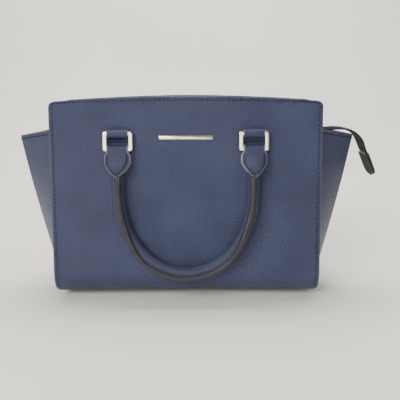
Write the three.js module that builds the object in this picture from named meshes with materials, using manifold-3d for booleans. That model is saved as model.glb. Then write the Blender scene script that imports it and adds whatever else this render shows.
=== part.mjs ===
// Winged trapeze satchel with two short rolled handles on rectangular rings, a recessed zip
// and folded side wings. Millimetres, +Z up, the front faces -Y, +X is right seen from the front.
import * as THREE from 'three';
import { mergeVertices } from 'three/addons/utils/BufferGeometryUtils.js';
import Module from 'manifold-3d';

const wasm = await Module();
wasm.setup();

// ---- driving dimensions ----
const GAP = 0.3; // between pieces that touch
const FOOT_HEIGHT = 4;
const BASE_HALF_DEPTH = 62; // outer face of a panel, extended down to REF_Z
const REF_Z = 5;
const LEAN = Math.atan(0.1627); // each panel leans in towards the top
const ROLL_RADIUS = 22; // the panel rolls under the bag
const ROLL_STEPS = 12; // facets round the roll
const TOP_Z = 209; // middle of the arched top edge
const ARCH = 4.4; // how far the top edge drops towards its corners
const TOP_CORNER = 6;
const BOTTOM_CORNER = 10;
const TOP_HALF_WIDTH = 140;
const BOTTOM_HALF_WIDTH = 137.3;
const LEATHER = 2.4;
const LINING = 0.8;
const WING_BOTTOM_Z = 7;
const WING_TIP_Z = 166;
const WING_SEAM_Z = 174.7; // top of the wing where it meets the panel
const WING_REACH = 47; // fold line beyond the panel's side edge, before the fold is rounded
const WING_REACH_LOW = 14; // the same at WING_LOW_Z
const WING_LOW_Z = 20;
const WING_LEATHER = 1.8;
const WING_FOLD_RADIUS = 6;
const FLANGE = 8; // wing leather sewn flat behind the panel's edge
const ZIP_Z = 172; // middle of the zip's leather strips
const ZIP_HINGE_Y = 29.5;
const ZIP_HALF_LENGTH = 104; // the part of the zip that opens
const ZIP_END = 133; // the closed ends reach this far
const TAPE = 0.8;
const TOOTH_HEIGHT = 2.4;
const SLIDER_X = 114; // slider's parking place at each end
const BAR_X = 69.3; // ring's middle from the bag's middle
const TOP_BAR_H = 169; // heights along the leaning face, from REF_Z
const LOW_BAR_H = 153.4;
const BAR_OUT = 4.9; // ring's middle in front of the face
const RING = { width: 30.8, height: 20.2, bar: 4.6, thick: 3.6, corner: 2.6 };
const LOOP_OUTER = 4.5;
const LOOP_BORE = 3.0;
const LOOP_WIDTH = 20;
const TAB = { width: 24.6, widest: 140, tip: 125.4, layer: 1.5 };
const HANDLE_RADIUS = 6.25;
const HANDLE_OUT = 8.65; // middle of the roll in front of the face
const HANDLE_HALF = 68.6;
const HANDLE_BOTTOM_H = 26.8;
const HANDLE_DROP = 82; // height of the half ellipse at the handle's end
const HANDLE_TOP_H = 136;
const TAIL_WIDTH = 26;
const NAME_BAR = { width: 56, height: 4.4, thick: 1.8, corner: 1, h: 165.2 };
const WING_TIP_X = TOP_HALF_WIDTH - 0.5 + WING_REACH;

// ---- materials ----
const leather = (colour) => () => new THREE.MeshStandardMaterial({ color: colour, roughness: 0.55 });
const navy = leather('#3f4a66');
const darkNavy = leather('#2c3349');
const fabric = () => new THREE.MeshStandardMaterial({ color: '#8a8578', roughness: 0.9 });
const tapeCloth = () => new THREE.MeshStandardMaterial({ color: '#30374c', roughness: 0.85 });
const board = () => new THREE.MeshStandardMaterial({ color: '#5b5449', roughness: 0.9 });
const gold = () => new THREE.MeshStandardMaterial({ color: '#d8cfa8', roughness: 0.25, metalness: 1 });

const bag = new THREE.Group();

function add(name, geometry, material, parent = bag) {
  const mesh = new THREE.Mesh(geometry, material());
  mesh.name = name;
  parent.add(mesh);
  return mesh;
}

// ---- solids ----
function toSolid(geometry) {
  const bare = geometry.clone();
  bare.deleteAttribute('normal');
  bare.deleteAttribute('uv');
  const merged = mergeVertices(bare, 1e-4);
  const vertProperties = new Float32Array(merged.attributes.position.array);
  const triVerts = new Uint32Array(merged.index.array);
  return new wasm.Manifold(new wasm.Mesh({ numProp: 3, vertProperties, triVerts }));
}

function toGeometry(solid) {
  const mesh = solid.getMesh();
  const geometry = new THREE.BufferGeometry();
  const points = [];
  for (let i = 0; i < mesh.vertProperties.length; i += mesh.numProp) {
    points.push(mesh.vertProperties[i], mesh.vertProperties[i + 1], mesh.vertProperties[i + 2]);
  }
  geometry.setAttribute('position', new THREE.Float32BufferAttribute(points, 3));
  geometry.setIndex(Array.from(mesh.triVerts));
  return geometry;
}

const cut = (body, tool) => toGeometry(toSolid(body).subtract(toSolid(tool)));
const common = (a, b) => toGeometry(toSolid(a).intersect(toSolid(b)));
const join = (a, b) => toGeometry(toSolid(a).add(toSolid(b)));

// A shape drawn in (Y, Z), extruded along X.
function alongX(shape, from, to, curveSegments = 8) {
  const options = { depth: to - from, bevelEnabled: false, curveSegments };
  const geometry = new THREE.ExtrudeGeometry(shape, options);
  const turn = new THREE.Matrix4().set(0, 0, 1, from, 1, 0, 0, 0, 0, 1, 0, 0, 0, 0, 0, 1);
  return geometry.applyMatrix4(turn);
}

// A shape drawn in (X, Z), extruded along Y.
function alongY(shape, from, to, curveSegments = 8) {
  const options = { depth: to - from, bevelEnabled: false, curveSegments };
  const geometry = new THREE.ExtrudeGeometry(shape, options);
  return geometry.rotateX(Math.PI / 2).translate(0, to, 0);
}

// A shape drawn in (X, Y), extruded along Z.
function alongZ(shape, from, to, curveSegments = 8) {
  const options = { depth: to - from, bevelEnabled: false, curveSegments };
  return new THREE.ExtrudeGeometry(shape, options).translate(0, 0, from);
}

function polygon(points) {
  return new THREE.Shape(points.map(([a, b]) => new THREE.Vector2(a, b)));
}

function roundedRectangle(width, height, radius, Kind = THREE.Shape) {
  const [w, h] = [width / 2, height / 2];
  const shape = new Kind();
  shape.moveTo(-w + radius, -h);
  shape.lineTo(w - radius, -h);
  shape.absarc(w - radius, -h + radius, radius, -Math.PI / 2, 0);
  shape.lineTo(w, h - radius);
  shape.absarc(w - radius, h - radius, radius, 0, Math.PI / 2);
  shape.lineTo(-w + radius, h);
  shape.absarc(-w + radius, h - radius, radius, Math.PI / 2, Math.PI);
  shape.lineTo(-w, -h + radius);
  shape.absarc(-w + radius, -h + radius, radius, Math.PI, 1.5 * Math.PI);
  return shape;
}

const box = (w, d, h, x, y, z) => new THREE.BoxGeometry(w, d, h).translate(x, y, z);

// ---- the leaning face and its roll ----
const faceDepth = (z) => BASE_HALF_DEPTH - Math.tan(LEAN) * (z - REF_Z);
const halfWidth = (z) =>
  BOTTOM_HALF_WIDTH + ((TOP_HALF_WIDTH - BOTTOM_HALF_WIDTH) * z) / TOP_Z;
const ROLL_Z = FOOT_HEIGHT + ROLL_RADIUS;
const ROLL_Y = faceDepth(ROLL_Z) - ROLL_RADIUS / Math.cos(LEAN);

// Half the bag's depth at a height, measured to a layer that lies inset below the outer face.
function layerDepth(z, inset) {
  const face = faceDepth(z) - inset / Math.cos(LEAN);
  const radius = ROLL_RADIUS - inset;
  const tangentZ = ROLL_Z + radius * Math.sin(LEAN);
  if (z >= tangentZ) return face;
  return ROLL_Y + Math.sqrt(Math.max(0, radius * radius - (z - ROLL_Z) ** 2));
}

// The side section (Y, Z) of a layer: down the face, round the roll to sweepEnd, then flat to flatEnd.
function layerSection(inset, thick, top, sweepEnd, flatEnd = null) {
  const outer = [];
  const inner = [];
  const steps = ROLL_STEPS;
  outer.push([-layerDepth(top, inset), top]);
  inner.push([-layerDepth(top, inset + thick), top]);
  for (let i = 0; i <= steps; i += 1) {
    const angle = Math.PI - LEAN + ((sweepEnd - Math.PI + LEAN) * i) / steps;
    for (const [list, depth] of [[outer, inset], [inner, inset + thick]]) {
      const r = ROLL_RADIUS - depth;
      list.push([-ROLL_Y + r * Math.cos(angle), ROLL_Z + r * Math.sin(angle)]);
    }
  }
  if (flatEnd !== null) {
    outer.push([-flatEnd, FOOT_HEIGHT + inset]);
    inner.push([-flatEnd, FOOT_HEIGHT + inset + thick]);
  }
  return polygon([...outer, ...inner.reverse()]);
}

// A flat patch lying on the face between two heights.
function patchSection(inset, thick, low, high) {
  return polygon([
    [-layerDepth(high, inset), high],
    [-layerDepth(low, inset), low],
    [-layerDepth(low, inset + thick), low],
    [-layerDepth(high, inset + thick), high],
  ]);
}

// The panel seen from the front: nearly upright sides, an arched top and rounded corners.
function panelOutline(side) {
  const edge = (z) => halfWidth(z) - side;
  const top = TOP_Z - ARCH - side;
  const low = FOOT_HEIGHT - 1;
  const shape = new THREE.Shape();
  shape.moveTo(-edge(low) + BOTTOM_CORNER, low);
  shape.lineTo(edge(low) - BOTTOM_CORNER, low);
  shape.quadraticCurveTo(edge(low), low, edge(low), low + BOTTOM_CORNER);
  shape.lineTo(edge(top), top - TOP_CORNER);
  shape.quadraticCurveTo(edge(top), top, edge(top) - TOP_CORNER, top);
  shape.quadraticCurveTo(0, top + 2 * ARCH, -edge(top) + TOP_CORNER, top);
  shape.quadraticCurveTo(-edge(top), top, -edge(top), top - TOP_CORNER);
  shape.lineTo(-edge(low), low + BOTTOM_CORNER);
  shape.quadraticCurveTo(-edge(low), low, -edge(low) + BOTTOM_CORNER, low);
  return shape;
}

const SIDES = [['front', 0], ['back', Math.PI]];
const BASE_EDGE_Y = 30;
const LINING_HALF_WIDTH = 126;
const LINING_TOP_Z = 169;
const FACING = 1.2;
const FACING_HALF_WIDTH = 128;

for (const [side, turn] of SIDES) {
  const whole = new THREE.Group();
  whole.rotation.z = turn;
  bag.add(whole);
  const section = layerSection(0, LEATHER, TOP_Z + 4, 1.5 * Math.PI, BASE_EDGE_Y + GAP);
  const slab = alongX(section, -TOP_HALF_WIDTH - 5, TOP_HALF_WIDTH + 5);
  const outline = alongY(panelOutline(0), -BASE_HALF_DEPTH - 5, 0, 10);
  add(`${side}_panel`, common(slab, outline), navy, whole);

  // Leather facing above the zip and fabric lining below it, both behind the panel.
  const inset = LEATHER + GAP;
  const facingPatch = patchSection(inset, FACING, ZIP_Z + 3, TOP_Z + 4);
  const facing = alongX(facingPatch, -FACING_HALF_WIDTH, FACING_HALF_WIDTH);
  const inside = alongY(panelOutline(2), -BASE_HALF_DEPTH, 0, 10);
  add(`${side}_facing`, common(facing, inside), darkNavy, whole);
  const lining = layerSection(inset, LINING, LINING_TOP_Z, 1.28 * Math.PI);
  add(`${side}_lining`, alongX(lining, -LINING_HALF_WIDTH, LINING_HALF_WIDTH), fabric, whole);
}

// ---- base, stiffener and feet ----
const BASE_HALF_LENGTH = 135;
const BASE_END_X = 146; // the base narrows to meet the wings' folds
const BASE_END_HALF_WIDTH = 8;
const BOARD = { length: 248, width: 62, thick: 2 };
const BASE_LINING_WIDTH = 84;
const baseShape = polygon([
  [-BASE_HALF_LENGTH, -BASE_EDGE_Y], [BASE_HALF_LENGTH, -BASE_EDGE_Y],
  [BASE_END_X, -BASE_END_HALF_WIDTH], [BASE_END_X, BASE_END_HALF_WIDTH],
  [BASE_HALF_LENGTH, BASE_EDGE_Y], [-BASE_HALF_LENGTH, BASE_EDGE_Y],
  [-BASE_END_X, BASE_END_HALF_WIDTH], [-BASE_END_X, -BASE_END_HALF_WIDTH],
]);
const BASE_TOP_Z = FOOT_HEIGHT + LEATHER;
add('base_panel', alongZ(baseShape, FOOT_HEIGHT, BASE_TOP_Z), navy);
const boardZ = BASE_TOP_Z + GAP;
add('base_board', box(BOARD.length, BOARD.width, BOARD.thick, 0, 0, boardZ + BOARD.thick / 2), board);
const liningZ = boardZ + BOARD.thick + GAP;
const baseLining = box(2 * LINING_HALF_WIDTH, BASE_LINING_WIDTH, LINING, 0, 0, liningZ + LINING / 2);
add('base_lining', baseLining, fabric);

const FOOT_X = 114;
const FOOT_Y = 22;
const footProfile = [[0, 0], [4, 0], [5.6, 0.5], [6.6, 1.6], [7, FOOT_HEIGHT - GAP], [0, FOOT_HEIGHT - GAP]];
for (const [end, x] of [['left', -FOOT_X], ['right', FOOT_X]]) {
  for (const [side, y] of [['front', -FOOT_Y], ['back', FOOT_Y]]) {
    const points = footProfile.map(([r, z]) => new THREE.Vector2(r, z));
    const foot = new THREE.LatheGeometry(points, 16).rotateX(Math.PI / 2);
    add(`foot_${side}_${end}`, foot.translate(x, y, 0), gold);
  }
}

// ---- wings: one strip of leather at each end, folded outwards down its middle ----
const WING_ARC_STEPS = 5;

// The folded strip's middle line at height z as (X, Y) points, from the front edge to the back edge.
function wingLine(z) {
  // The top row is raised along the panel's seam, so it takes the bag's depth up there.
  const seamZ = z < WING_TIP_Z ? z : WING_SEAM_Z;
  const half = layerDepth(seamZ, LEATHER + 2 * GAP + WING_LEATHER / 2);
  const edge = halfWidth(z) - 0.5;
  const reach = WING_REACH_LOW
    + ((WING_REACH - WING_REACH_LOW) * (z - WING_LOW_Z)) / (WING_TIP_Z - WING_LOW_Z);
  const tip = new THREE.Vector2(edge + reach, 0);
  const bend = new THREE.Vector2(edge - FLANGE, -half);
  const start = new THREE.Vector2(edge, -half);
  const points = [start, ...rounded(start, bend, tip, 1.6)];
  const mirror = new THREE.Vector2(bend.x, -bend.y);
  points.push(...rounded(bend, tip, mirror, WING_FOLD_RADIUS));
  points.push(...rounded(tip, mirror, new THREE.Vector2(edge, half), 1.6));
  points.push(new THREE.Vector2(edge, half));
  return points;
}

// The arc that rounds the corner b of the line a-b-c.
function rounded(a, b, c, radius) {
  const u = a.clone().sub(b).normalize();
  const v = c.clone().sub(b).normalize();
  const half = Math.acos(THREE.MathUtils.clamp(u.dot(v), -1, 1)) / 2;
  const bisector = u.clone().add(v).normalize();
  const centre = b.clone().addScaledVector(bisector, radius / Math.sin(half));
  const first = b.clone().addScaledVector(u, radius / Math.tan(half)).sub(centre);
  const sweep = (Math.PI - 2 * half) * Math.sign(u.x * v.y - u.y * v.x) * -1;
  const arc = [];
  for (let i = 0; i <= WING_ARC_STEPS; i += 1) {
    const turned = first.clone().rotateAround(new THREE.Vector2(), (sweep * i) / WING_ARC_STEPS);
    arc.push(turned.add(centre));
  }
  return arc;
}

function offsetLine(points, distance) {
  return points.map((point, i) => {
    const before = points[Math.max(0, i - 1)];
    const after = points[Math.min(points.length - 1, i + 1)];
    const along = after.clone().sub(before).normalize();
    return new THREE.Vector2(point.x + along.y * distance, point.y - along.x * distance);
  });
}

// A closed thin wall through stacked sections; each section has the same number of points.
function wall(levels, line, thick, lift) {
  const rows = levels.map((z) => {
    const middle = line(z);
    const outer = offsetLine(middle, thick / 2);
    const inner = offsetLine(middle, -thick / 2);
    return [...outer, ...inner.reverse()].map((p) => [p.x, p.y, lift(p, z)]);
  });
  const count = rows[0].length;
  const index = [];
  const at = (row, i) => row * count + (i % count);
  for (let row = 0; row < rows.length - 1; row += 1) {
    for (let i = 0; i < count; i += 1) {
      const [a, b, c, d] = [at(row, i), at(row, i + 1), at(row + 1, i + 1), at(row + 1, i)];
      // Both sides of the wall split along matching diagonals, so a twisted wall keeps its thickness.
      if (i < count / 2) index.push(a, b, c, a, c, d);
      else index.push(a, b, d, b, c, d);
    }
  }
  const last = rows.length - 1;
  for (let i = 0; i < count / 2 - 1; i += 1) {
    const [a, b, c, d] = [i, i + 1, count - 2 - i, count - 1 - i];
    index.push(at(0, a), at(0, c), at(0, b), at(0, a), at(0, d), at(0, c));
    index.push(at(last, a), at(last, b), at(last, c), at(last, a), at(last, c), at(last, d));
  }
  const geometry = new THREE.BufferGeometry();
  geometry.setAttribute('position', new THREE.Float32BufferAttribute(rows.flat(2), 3));
  geometry.setIndex(index);
  return geometry;
}

const WING_LEVELS = [WING_BOTTOM_Z, 10, 14, 19, 26, 45, 70, 95, 120, 145, WING_TIP_Z];
const WING_SLOPE = (WING_SEAM_Z - WING_TIP_Z) / WING_REACH;
// The top edge falls from the panel's seam to the wing's tip.
function wingLift(point, z) {
  if (z < WING_TIP_Z) return z;
  const inward = Math.min(WING_REACH, Math.max(0, WING_TIP_X - point.x));
  return z + inward * WING_SLOPE;
}

for (const [end, turn] of [['right', 0], ['left', Math.PI]]) {
  const wing = wall(WING_LEVELS, wingLine, WING_LEATHER, wingLift);
  add(`wing_${end}`, wing.rotateZ(turn), navy);
}

// ---- pockets on the linings ----
const pocketInset = LEATHER + GAP + LINING + GAP;
const SLIP_POCKET = { halfWidth: 62, low: 62, high: 138 };
const ZIP_POCKET = { halfWidth: 80, low: 48, high: 118 };
const POCKET_ZIP = { halfWidth: 76, low: 121, high: 129, thick: 2 };
function pocket({ halfWidth: half, low, high, thick = LINING }) {
  return alongX(patchSection(pocketInset, thick, low, high), -half, half);
}
add('slip_pocket', pocket(SLIP_POCKET), fabric);
add('zip_pocket', pocket(ZIP_POCKET).rotateZ(Math.PI), fabric);
add('zip_pocket_zip', pocket(POCKET_ZIP).rotateZ(Math.PI), tapeCloth);

// ---- zip: two strips that fold up, closed ends, slider and pull ----
const STRIP_EDGE_Y = 14;
const STRIP_THICK = 2;
const TAPE_UNDER_STRIP = 4; // how far the tape reaches under its strip
const TEETH_OUTER_Y = 3.2;
for (const [side, turn] of SIDES) {
  const length = 2 * ZIP_HALF_LENGTH;
  const middle = -(ZIP_HINGE_Y + STRIP_EDGE_Y) / 2;
  const strip = box(length, ZIP_HINGE_Y - STRIP_EDGE_Y, STRIP_THICK, 0, middle, ZIP_Z);
  add(`${side}_zip_strip`, strip.rotateZ(turn), darkNavy);
  const tapeWidth = STRIP_EDGE_Y + TAPE_UNDER_STRIP - TEETH_OUTER_Y - GAP;
  const tapeY = -(TEETH_OUTER_Y + GAP + tapeWidth / 2);
  const tapeZ = ZIP_Z - STRIP_THICK / 2 - GAP - TAPE / 2;
  const tape = box(length, tapeWidth, TAPE, 0, tapeY, tapeZ);
  add(`${side}_zip_tape`, tape.rotateZ(turn), tapeCloth);
  const teethWidth = TEETH_OUTER_Y - GAP / 2;
  const teeth = box(length, teethWidth, TOOTH_HEIGHT, 0, -(GAP + teethWidth) / 2, tapeZ);
  add(`${side}_zip_teeth`, teeth.rotateZ(turn), gold);
}
for (const [end, sign] of [['left', -1], ['right', 1]]) {
  const length = ZIP_END - ZIP_HALF_LENGTH - 1;
  const x = sign * (ZIP_HALF_LENGTH + 1 + length / 2);
  const piece = box(length, 2 * ZIP_HINGE_Y - 2, STRIP_THICK, x, 0, ZIP_Z - STRIP_THICK / 2);
  add(`zip_end_${end}`, piece, darkNavy);
}

const sliderZ = ZIP_Z + STRIP_THICK / 2 + GAP;
const sliderPlate = alongZ(roundedRectangle(12, 8.6, 2), sliderZ, sliderZ + 2, 4);
const arch = new THREE.Shape();
arch.moveTo(-4, 1.5);
arch.lineTo(4, 1.5);
arch.lineTo(3.2, 4.2);
arch.quadraticCurveTo(0, 5.6, -3.2, 4.2);
const archEye = new THREE.Path();
archEye.moveTo(-2, 2.2);
archEye.lineTo(2, 2.2);
archEye.lineTo(1.8, 3.6);
archEye.lineTo(-1.8, 3.6);
arch.holes.push(archEye);
const sliderBridge = alongY(arch, -1.2, 1.2, 4).translate(0, 0, sliderZ);
add('zip_slider', join(sliderPlate, sliderBridge).translate(-SLIDER_X, 0, 0), gold);

// The pull is a flat ring whose thin bar runs through the slider's bridge.
const pullBarZ = sliderZ + 2.9;
const pullOutline = roundedRectangle(20, 7.6, 2.4);
const pullWindow = roundedRectangle(7, 3.4, 0.6, THREE.Path);
const pullPlate = alongZ(pullOutline, -0.5, 0.5, 4);
const pullHole = alongZ(new THREE.Shape(pullWindow.getPoints(3)), -1, 1).translate(5.7, 0, 0);
const pull = cut(pullPlate, pullHole).translate(-SLIDER_X - 9.6, 0, pullBarZ);
add('zip_pull', pull, gold);

// ---- zip tail: over the right wing's tip and down outside it, ending in a leather tab ----
function ribbonSection(path, thick) {
  const upper = offsetLine(path, -thick / 2);
  const lower = offsetLine(path, thick / 2).reverse();
  return new THREE.Shape([...upper, ...lower]);
}
const TAIL_THICK = 2.2;
const TAIL_POINTS = [
  [ZIP_END + 1.5, 171.5], [149, 174], [167, 174.3],
  [180.6, 170.4], [188.6, 162], [194.4, 149],
];
const tailCurve = new THREE.SplineCurve(TAIL_POINTS.map(([x, z]) => new THREE.Vector2(x, z)));
const tail = alongY(ribbonSection(tailCurve.getPoints(20), TAIL_THICK), -TAIL_WIDTH / 2, TAIL_WIDTH / 2);
add('zip_tail', tail, tapeCloth);

const TAB_END = { width: 25, length: 27, thick: 4.6, drop: 0.42, x: 194.6, z: 147.6 };
const endShape = new THREE.Shape();
endShape.moveTo(-TAB_END.width / 2, 0);
endShape.lineTo(-TAB_END.width / 2, -TAB_END.length * 0.62);
endShape.quadraticCurveTo(-TAB_END.width / 4, -TAB_END.length, 0, -TAB_END.length);
endShape.quadraticCurveTo(TAB_END.width / 4, -TAB_END.length, TAB_END.width / 2, -TAB_END.length * 0.62);
endShape.lineTo(TAB_END.width / 2, 0);
const endTab = alongY(endShape, -TAB_END.thick / 2, TAB_END.thick / 2).rotateZ(Math.PI / 2);
endTab.rotateY(-TAB_END.drop).translate(TAB_END.x, 0, TAB_END.z);
add('zip_end_tab', endTab, navy);

// ---- name bar, rings, chapes and handles, drawn on the upright face and then leaned with it ----
// In a face group, +Z runs up the face, -Y points away from it and z = 0 lies at REF_Z.
function tabOutline(inset) {
  const shape = new THREE.Shape();
  const top = LOW_BAR_H + LOOP_OUTER + 1;
  const [narrow, wide] = [LOOP_WIDTH / 2 - inset, TAB.width / 2 - inset];
  const tip = TAB.tip + inset * 1.6;
  shape.moveTo(-narrow, top);
  shape.lineTo(-narrow, LOW_BAR_H - 2);
  shape.quadraticCurveTo(-wide, TAB.widest + 9, -wide, TAB.widest);
  shape.bezierCurveTo(-wide, TAB.widest - 6, -4, tip + 4, 0, tip);
  shape.bezierCurveTo(4, tip + 4, wide, TAB.widest - 6, wide, TAB.widest);
  shape.quadraticCurveTo(wide, TAB.widest + 9, narrow, LOW_BAR_H - 2);
  shape.lineTo(narrow, top);
  return shape;
}

// The front layer of a tab swells over the end of the roll: distance in front of the face.
const SWELL = [
  [LOW_BAR_H, BAR_OUT + LOOP_OUTER],
  [LOW_BAR_H - 4.4, BAR_OUT + LOOP_OUTER + 0.6],
  [143, 13.4],
  [HANDLE_TOP_H + 1.5, HANDLE_OUT + HANDLE_RADIUS + GAP + TAB.layer],
  [TAB.tip - 1, HANDLE_OUT + HANDLE_RADIUS + GAP + TAB.layer],
];
const BACK_LAYER_OUT = 0.5;
const TAB_ROOM = 15; // half width that holds the whole tab before it is cut to its outline
const TONGUE_INSET = 2.2; // the roll's flat end is narrower than its tab by this on each side
const ROLL_BACK_OUT = HANDLE_OUT - HANDLE_RADIUS - GAP;

function tabGeometry() {
  const loop = alongX(disc(BAR_OUT, LOW_BAR_H, LOOP_OUTER), -TAB_ROOM, TAB_ROOM);
  const frontLayer = polygon([
    ...SWELL.map(([h, out]) => [-out, h]),
    ...SWELL.slice().reverse().map(([h, out]) => [-out + TAB.layer, h]),
  ]);
  const backLayer = polygon([
    [-BAR_OUT, LOW_BAR_H + LOOP_OUTER - 1.5], [-BACK_LAYER_OUT, LOW_BAR_H],
    [-BACK_LAYER_OUT, TAB.tip - 1], [-ROLL_BACK_OUT, TAB.tip - 1], [-ROLL_BACK_OUT, LOW_BAR_H - 3],
  ]);
  const front = alongX(frontLayer, -TAB_ROOM, TAB_ROOM);
  const back = alongX(backLayer, -TAB_ROOM, TAB_ROOM);
  const layers = join(join(front, back), loop);
  const bore = alongX(disc(BAR_OUT, LOW_BAR_H, LOOP_BORE), -TAB_ROOM - 1, TAB_ROOM + 1);
  return common(cut(layers, bore), alongY(tabOutline(0), -30, 5, 6));
}

function disc(out, h, radius) {
  const shape = new THREE.Shape();
  shape.absarc(-out, h, radius, 0, 2 * Math.PI);
  return shape;
}

// The roll's flattened end between the two layers of its tab.
function tongueGeometry() {
  const top = LOW_BAR_H - LOOP_OUTER - GAP;
  const room = TAB.layer + GAP;
  const section = polygon([
    [-ROLL_BACK_OUT - GAP, top - 1],
    [-ROLL_BACK_OUT - GAP, HANDLE_TOP_H - 4],
    [-HANDLE_OUT, HANDLE_TOP_H - 5],
    [-SWELL[3][1] + room + 0.05, HANDLE_TOP_H - 3],
    [-SWELL[3][1] + room + 0.3, SWELL[3][0]],
    [-SWELL[2][1] + room + 0.3, SWELL[2][0]],
    [-SWELL[1][1] + room + 0.7, top - 1],
  ]);
  return common(alongX(section, -TAB_ROOM, TAB_ROOM), alongY(tabOutline(TONGUE_INSET), -30, 5, 6));
}

class HandleCurve extends THREE.Curve {
  getPoint(t) {
    const centre = HANDLE_BOTTOM_H + HANDLE_DROP;
    const leg = HANDLE_TOP_H - centre;
    const legShare = 0.1;
    if (t < legShare) {
      return new THREE.Vector3(-HANDLE_HALF, -HANDLE_OUT, HANDLE_TOP_H - (leg * t) / legShare);
    }
    if (t > 1 - legShare) {
      return new THREE.Vector3(HANDLE_HALF, -HANDLE_OUT, HANDLE_TOP_H - (leg * (1 - t)) / legShare);
    }
    const angle = Math.PI * (1 + (t - legShare) / (1 - 2 * legShare));
    const x = HANDLE_HALF * Math.cos(angle);
    return new THREE.Vector3(x, -HANDLE_OUT, centre + HANDLE_DROP * Math.sin(angle));
  }
}

const SEAM = { reach: 10.2, half: 1.3 };
function gripGeometry() {
  // The round roll with its sewn edge standing out, halfway between front and outside.
  const section = new THREE.Shape();
  const open = Math.asin(SEAM.half / HANDLE_RADIUS);
  const facing = Math.PI / 4;
  const across = new THREE.Vector2(-Math.sin(facing), Math.cos(facing)).multiplyScalar(SEAM.half);
  const tip = new THREE.Vector2(Math.cos(facing), Math.sin(facing)).multiplyScalar(SEAM.reach);
  section.absarc(0, 0, HANDLE_RADIUS, facing + open, facing - open + 2 * Math.PI);
  section.lineTo(tip.x - across.x, tip.y - across.y);
  section.lineTo(tip.x + across.x, tip.y + across.y);
  const options = { steps: 34, bevelEnabled: false, extrudePath: new HandleCurve(), curveSegments: 7 };
  let grip = new THREE.ExtrudeGeometry(section, options);
  // The sewn edge stops below the tabs.
  const clear = new THREE.Shape();
  clear.absarc(0, 0, HANDLE_RADIUS + 0.02, 0, 2 * Math.PI);
  for (const x of [-HANDLE_HALF, HANDLE_HALF]) {
    const block = box(40, 40, 30, x, -HANDLE_OUT, TAB.tip - 1 + 15);
    const keep = alongZ(clear, TAB.tip - 2, HANDLE_TOP_H + 20).translate(x, -HANDLE_OUT, 0);
    grip = cut(grip, cut(block, keep));
    grip = join(grip, tongueGeometry().translate(x, 0, 0));
  }
  return grip;
}

function ringGeometry() {
  const shape = roundedRectangle(RING.width, RING.height, RING.corner);
  const hole = roundedRectangle(RING.width - 2 * RING.bar, RING.height - 2 * RING.bar, 1, THREE.Path);
  shape.holes.push(hole);
  const bevel = 0.7;
  const options = {
    depth: RING.thick - 2 * bevel, bevelThickness: bevel, bevelSize: bevel, bevelOffset: -bevel,
    bevelSegments: 1, curveSegments: 3,
  };
  const ring = new THREE.ExtrudeGeometry(shape, options).rotateX(Math.PI / 2);
  const middle = (TOP_BAR_H + LOW_BAR_H) / 2;
  return ring.translate(0, -BAR_OUT + RING.thick / 2 - bevel, middle);
}

function chapeGeometry() {
  const wrap = alongX(disc(BAR_OUT, TOP_BAR_H, LOOP_OUTER), -LOOP_WIDTH / 2, LOOP_WIDTH / 2);
  const root = box(LOOP_WIDTH, 4, 5.4, 0, -2 - GAP, TOP_BAR_H);
  const bore = alongX(disc(BAR_OUT, TOP_BAR_H, LOOP_BORE), -LOOP_WIDTH, LOOP_WIDTH);
  return cut(join(wrap, root), bore);
}

for (const [side, turn] of SIDES) {
  const whole = new THREE.Group();
  whole.rotation.z = turn;
  bag.add(whole);
  const face = new THREE.Group();
  face.position.set(0, -BASE_HALF_DEPTH, REF_Z);
  face.rotation.x = -LEAN;
  whole.add(face);
  for (const [end, x] of [['left', -BAR_X], ['right', BAR_X]]) {
    // Left and right are the viewer's, seen from the front of the bag, on both faces.
    const place = turn === 0 ? x : -x;
    add(`${side}_chape_${end}`, chapeGeometry().translate(place, 0, 0), navy, face);
    add(`${side}_ring_${end}`, ringGeometry().translate(place, 0, 0), gold, face);
    add(`${side}_tab_${end}`, tabGeometry().translate(place, 0, 0), navy, face);
  }
  add(`${side}_handle`, gripGeometry(), darkNavy, face);
  if (side === 'front') {
    const outline = roundedRectangle(NAME_BAR.width, NAME_BAR.height, NAME_BAR.corner);
    const plate = alongY(outline, -NAME_BAR.thick - GAP, -GAP, 3);
    add('name_bar', plate.translate(0, 0, NAME_BAR.h), gold, face);
  }
}

// The zip tail makes the bag longer to the right, so the bag moves left to centre its whole box.
bag.updateMatrixWorld(true);
const bounds = new THREE.Box3().setFromObject(bag);
bag.position.x = -(bounds.min.x + bounds.max.x) / 2;

export default bag;
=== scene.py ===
# Winged trapeze satchel in navy crosshatch leather with pale gold fittings.
# Lengths are in millimetres in the drawing functions and turned into metres as meshes are made.
import math

import bpy
import numpy as np
from mathutils import Matrix, Vector


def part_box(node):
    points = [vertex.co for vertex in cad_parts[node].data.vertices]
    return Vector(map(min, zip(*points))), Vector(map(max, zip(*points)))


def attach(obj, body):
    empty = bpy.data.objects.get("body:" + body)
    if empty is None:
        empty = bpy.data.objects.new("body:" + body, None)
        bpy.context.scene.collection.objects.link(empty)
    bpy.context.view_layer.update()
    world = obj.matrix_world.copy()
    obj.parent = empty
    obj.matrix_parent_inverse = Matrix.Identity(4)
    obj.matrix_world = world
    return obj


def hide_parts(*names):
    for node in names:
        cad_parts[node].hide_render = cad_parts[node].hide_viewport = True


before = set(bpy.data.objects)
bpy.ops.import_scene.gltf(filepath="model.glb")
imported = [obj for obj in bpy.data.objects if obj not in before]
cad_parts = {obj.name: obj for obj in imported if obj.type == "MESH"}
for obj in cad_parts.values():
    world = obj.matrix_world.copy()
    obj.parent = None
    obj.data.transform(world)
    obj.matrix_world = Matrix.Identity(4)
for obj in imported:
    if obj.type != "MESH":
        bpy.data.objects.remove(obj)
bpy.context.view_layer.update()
MM = 0.001


def cad_box(node):
    low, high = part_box(node)
    return np.array(low) / MM, np.array(high) / MM


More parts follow.
